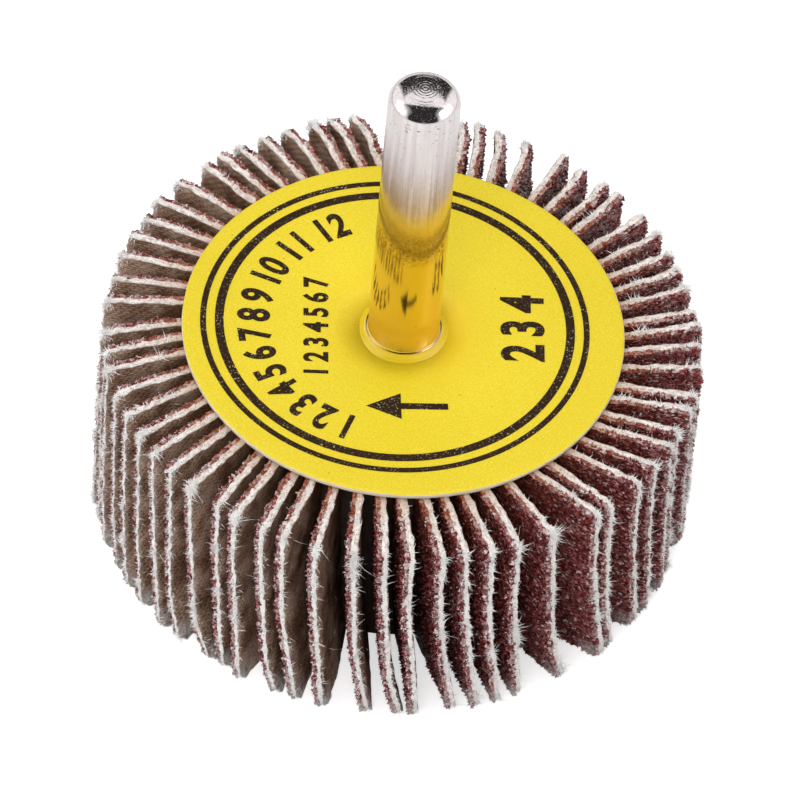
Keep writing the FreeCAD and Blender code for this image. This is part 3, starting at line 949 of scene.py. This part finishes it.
def make_shank(steel):
    """Round steel rod with a thicker root, a worn nose and a faintly domed, turned end."""
    top = SHANK_TOP
    profile = [(0.001, CORE_BOTTOM), (ROOT_RADIUS - 0.5, CORE_BOTTOM), (ROOT_RADIUS, CORE_BOTTOM + 0.5),
               (ROOT_RADIUS, BEAD_TOP - 0.02), (ROOT_RADIUS - 0.02, BEAD_TOP),
               (SHANK_RADIUS + 0.02, BEAD_TOP), (SHANK_RADIUS, BEAD_TOP + 0.02)]
    for row in range(1, 13):
        profile.append((SHANK_RADIUS, BEAD_TOP + (top - 1.75 - BEAD_TOP) * row / 12))
    for radius, drop in reversed(NOSE):
        profile.append((radius, top - drop))
    for row in range(8):
        radius = END_RADIUS * (1 - row / 7)
        profile.append((max(radius, 0.001), top - END_RISE * (radius / END_RADIUS) ** 2))
    mesh = lathe("drawn_shank", profile, 96)
    piece = new_piece("drawn_shank", mesh, [steel])
    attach(piece, "root")
    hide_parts("spindle")


def make_bead(resin):
    """Uneven ring of clear resin round the foot of the shank, wider at the front."""
    skirt = SHANK_RADIUS + 0.70
    low, high = LABEL_TOP - 0.1, LABEL_TOP + 0.42
    inner = SHANK_RADIUS - 0.05
    profile = [(inner, low), (skirt, low)]
    rows = 12
    for step in range(rows + 1):
        part = step / rows
        profile.append((skirt - (skirt - inner) * part,
                        LABEL_TOP + (high - LABEL_TOP) * (0.16 * part ** 0.7 + 0.84 * part ** 2.8)))
    profile.append((inner, low))

    def uneven(angle, index):
        front = 0.5 - 0.5 * math.sin(angle)
        swell = 0.32 * front ** 2 - 0.08 + 0.04 * math.sin(3 * angle + 1.0) + 0.02 * math.sin(5 * angle)
        if index == 1:
            return swell, 0.0
        if 2 <= index <= rows + 2:
            share = 1 - (index - 2) / rows
            return swell * share, 0.04 * math.sin(2 * angle + 0.6) * (1 - share)
        return 0.0, 0.0

    mesh = lathe("resin_ring", profile, 144, uneven)
    piece = new_piece("resin_ring", mesh, [resin])
    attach(piece, "root")
    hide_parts("resin_bead")


# Plain counting digits, in rows: text, height, middle of the row or its radius, and its angles
STRAIGHT_ROWS = (
    ("print_row_left", "1234567", 1.95, (-7.3, -0.8), 94.3, 1.66),
    ("print_row_right", "234", 3.4, (9.85, 1.2), 94.3, 2.75),
)
ARC_DIGITS = "1 2 3 4 5 6 7 8 9 10 11 12"
ARC_RADIUS = 11.0
ARC_FROM, ARC_TO = -107.0, -241.0
ARC_HEIGHT = 2.55
GAP_SHARE = 0.45


def digit_mesh(text, height, narrow):
    """One character of the built-in font as a thin closed mesh, centred across its foot."""
    curve = bpy.data.curves.new("digit", "FONT")
    curve.body = text
    curve.align_x = "CENTER"
    curve.size = height / 0.70
    curve.offset = height * 0.046
    curve.extrude = INK_THICKNESS / 2
    curve.resolution_u = 6
    holder = add_to_scene("digit", curve)
    evaluated = holder.evaluated_get(bpy.context.evaluated_depsgraph_get())
    mesh = bpy.data.meshes.new_from_object(evaluated)
    bpy.data.objects.remove(holder)
    bpy.data.curves.remove(curve)
    mesh.transform(Matrix.Diagonal((narrow, 1.0, 1.0, 1.0)))
    return mesh


def join_meshes(name, meshes):
    points, faces = [], []
    for mesh in meshes:
        start = len(points)
        points += [vertex.co[:] for vertex in mesh.vertices]
        faces += [[start + index for index in face.vertices] for face in mesh.polygons]
        bpy.data.meshes.remove(mesh)
    joined = bpy.data.meshes.new(name)
    joined.from_pydata(np.array(points) * MM, [], faces)
    return joined


def print_digits(ink):
    level = LABEL_TOP + INK_THICKNESS / 2
    for name, text, height, middle, angle, pitch in STRAIGHT_ROWS:
        turn = Matrix.Rotation(math.radians(angle), 4, "Z")
        meshes = []
        for index, character in enumerate(text):
            mesh = digit_mesh(character, height, 0.78)
            along = (index - (len(text) - 1) / 2) * pitch
            mesh.transform(Matrix.Translation((*middle, level)) @ turn
                           @ Matrix.Translation((along, -height / 2, 0)))
            meshes.append(mesh)
        lay_print(name, meshes, ink)
    meshes = []
    widths = [GAP_SHARE if character == " " else 1.0 for character in ARC_DIGITS]
    places = np.cumsum(widths) - 0.5 * np.array(widths)
    for character, place in zip(ARC_DIGITS, (places - places[0]) / (places[-1] - places[0])):
        if character == " ":
            continue
        angle = ARC_FROM + (ARC_TO - ARC_FROM) * place
        mesh = digit_mesh(character, ARC_HEIGHT, 0.78)
        mesh.transform(Matrix.Translation((-0.3, 0.2, level))
                       @ Matrix.Rotation(math.radians(angle - 90), 4, "Z")
                       @ Matrix.Translation((0, ARC_RADIUS, 0)))
        meshes.append(mesh)
    lay_print("print_arc", meshes, ink)


def lay_print(name, meshes, ink):
    piece = new_piece(name, join_meshes(name, meshes), [ink])
    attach(piece, "root")


def dress_frame(name, material):
    """Gives a CAD node that stays its finish."""
    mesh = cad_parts[name].data
    mesh.materials.clear()
    mesh.materials.append(material)


# Camera: where it looks, from how far, how high and how far it was tipped
AIM = Vector((0.27, -4.16, 16.29))
DISTANCE = 866.5
ELEVATION = math.radians(48.31)
ROLL = math.radians(5.32)
SENSOR = 36.0
FOCAL_LENGTH = 467.5

# The room's own light, with more of it from the left and from behind
AMBIENT = 0.40
LEFT_SHARE = 0.20
BACK_SHARE = 0.12

# Lamps in metres and watts: name, place, width and power
LAMP_AIM = Vector((0, 0, 0.01))
LAMPS = (
    ("overhead", (0.05, 0.18, 0.70), 0.5, 1.65),
    ("front", (-0.06, -0.53, 0.58), 0.38, 1.9),
    ("left", (-0.40, -0.28, 0.46), 0.8, 1.45),
    ("right", (0.55, -0.05, 0.30), 0.5, 0.55),
)


def place_camera():
    ahead = Vector((0, math.cos(ELEVATION), -math.sin(ELEVATION)))
    level_up = Vector((0, math.sin(ELEVATION), math.cos(ELEVATION)))
    level_right = Vector((1, 0, 0))
    right = math.cos(ROLL) * level_right + math.sin(ROLL) * level_up
    up = math.cos(ROLL) * level_up - math.sin(ROLL) * level_right
    data = bpy.data.cameras.new("camera")
    data.sensor_width = SENSOR
    data.lens = FOCAL_LENGTH
    data.clip_start = 0.01
    data.clip_end = 10.0
    camera = add_to_scene("camera", data)
    turn = Matrix((right, up, -ahead)).transposed().to_4x4()
    camera.matrix_world = Matrix.Translation((AIM - ahead * DISTANCE) * MM) @ turn
    bpy.context.scene.camera = camera


def add_lamp(name, place, size, power):
    """A square lamp that mirrors don't show; the studio's own light is there for them."""
    data = bpy.data.lights.new(name, "AREA")
    data.shape = "SQUARE"
    data.size = size
    data.energy = power
    lamp = add_to_scene(name, data)
    lamp.location = place
    lamp.rotation_euler = (LAMP_AIM - Vector(place)).to_track_quat("-Z", "Y").to_euler()
    lamp.visible_glossy = False


def towards(recipe, ray, aim, low, high):
    """How closely a ray runs along aim: 0 at the cosine low, 1 at high."""
    node = recipe.tree.nodes.new("ShaderNodeVectorMath")
    node.operation = "DOT_PRODUCT"
    recipe.feed(node.inputs[0], ray)
    recipe.feed(node.inputs[1], tuple(Vector(aim).normalized()))
    return recipe.spread(node.outputs["Value"], low, high)


def mirrored_studio(recipe, ray):
    """What shiny things show: white, darker in front and behind, two soft boxes and a lamp."""
    x, y, z = recipe.split(ray)
    sideways = recipe.maths("ABSOLUTE", x)
    behind = recipe.times(recipe.spread(y, 0.05, 0.15), recipe.spread(z, 0.775, 0.750))
    behind = recipe.times(behind, recipe.spread(z, 0.05, 0.12))
    behind = recipe.times(behind, recipe.spread(sideways, 0.62, 0.50))
    ahead = recipe.times(recipe.spread(y, 0.08, 0.00), recipe.spread(sideways, 0.80, 0.64))
    ahead = recipe.times(ahead, recipe.spread(z, 0.02, 0.08))
    dark = recipe.plus(behind, ahead, True)
    boxes = recipe.plus(towards(recipe, ray, (-0.84, -0.20, 0.50), 0.86, 0.96),
                        towards(recipe, ray, (0.84, -0.20, 0.50), 0.86, 0.96))
    lamp = towards(recipe, ray, (0.80, -0.25, 0.55), 0.97, 0.99)
    mirrored = recipe.plus(recipe.spread(dark, 0.0, 1.0, 1.0, 0.03), recipe.times(boxes, 0.55))
    return recipe.plus(mirrored, recipe.times(lamp, 7.0))


def light_studio():
    """White room for the camera; what shiny things mirror is darker in front and behind."""
    world = bpy.data.worlds.new("studio")
    bpy.context.scene.world = world
    recipe = Recipe(world)
    ray = recipe.add("ShaderNodeTexCoord", output=0)
    x, y, _ = recipe.split(ray)
    room = recipe.minus(AMBIENT, recipe.times(x, LEFT_SHARE))
    room = recipe.plus(room, recipe.times(y, BACK_SHARE))
    path = recipe.tree.nodes.new("ShaderNodeLightPath")
    is_glossy = path.outputs["Is Glossy Ray"]
    glossy = recipe.times(is_glossy, mirrored_studio(recipe, ray))
    soft = recipe.times(recipe.minus(1.0, is_glossy), room)
    seen = recipe.plus(path.outputs["Is Camera Ray"], path.outputs["Is Transmission Ray"], True)
    strength = recipe.maths("MAXIMUM", recipe.plus(glossy, soft), seen)
    shader = recipe.add("ShaderNodeBackground", Color=(1.0, 1.0, 1.0), Strength=strength)
    recipe.end_with(shader, "ShaderNodeOutputWorld")
    for name, place, size, power in LAMPS:
        add_lamp(name, place, size, power)


def lay_floor():
    half = 1.5
    mesh = bpy.data.meshes.new("floor")
    mesh.from_pydata([(-half, -half, 0), (half, -half, 0), (half, half, 0), (-half, half, 0)],
                     [], [(0, 1, 2, 3)])
    floor = add_to_scene("floor", mesh)
    recipe = new_recipe("floor_paper")
    path = recipe.tree.nodes.new("ShaderNodeLightPath")
    diffuse = recipe.add("ShaderNodeBsdfDiffuse", Color=(0.86, 0.86, 0.86))
    glow = recipe.add("ShaderNodeEmission", Color=(1.0, 1.0, 1.0),
                      Strength=recipe.times(path.outputs["Is Camera Ray"], 0.60))
    both = recipe.tree.nodes.new("ShaderNodeAddShader")
    recipe.tree.links.new(diffuse, both.inputs[0])
    recipe.tree.links.new(glow, both.inputs[1])
    mesh.materials.append(recipe.end_with(both.outputs[0]))


def build():
    place_camera()
    light_studio()
    lay_floor()
    ink = printed_ink()
    make_flaps(backing_cloth(), coarse_grain(), loose_fibre())
    make_core(cast_resin())
    make_label(label_lacquer(), label_paper())
    make_shank(drawn_steel())
    make_bead(clear_resin())
    print_digits(ink)
    for name in ("printed_ring_thin", "printed_ring_thick", "printed_arrow"):
        dress_frame(name, ink)
    bpy.context.scene.view_settings.view_transform = "Standard"


build()
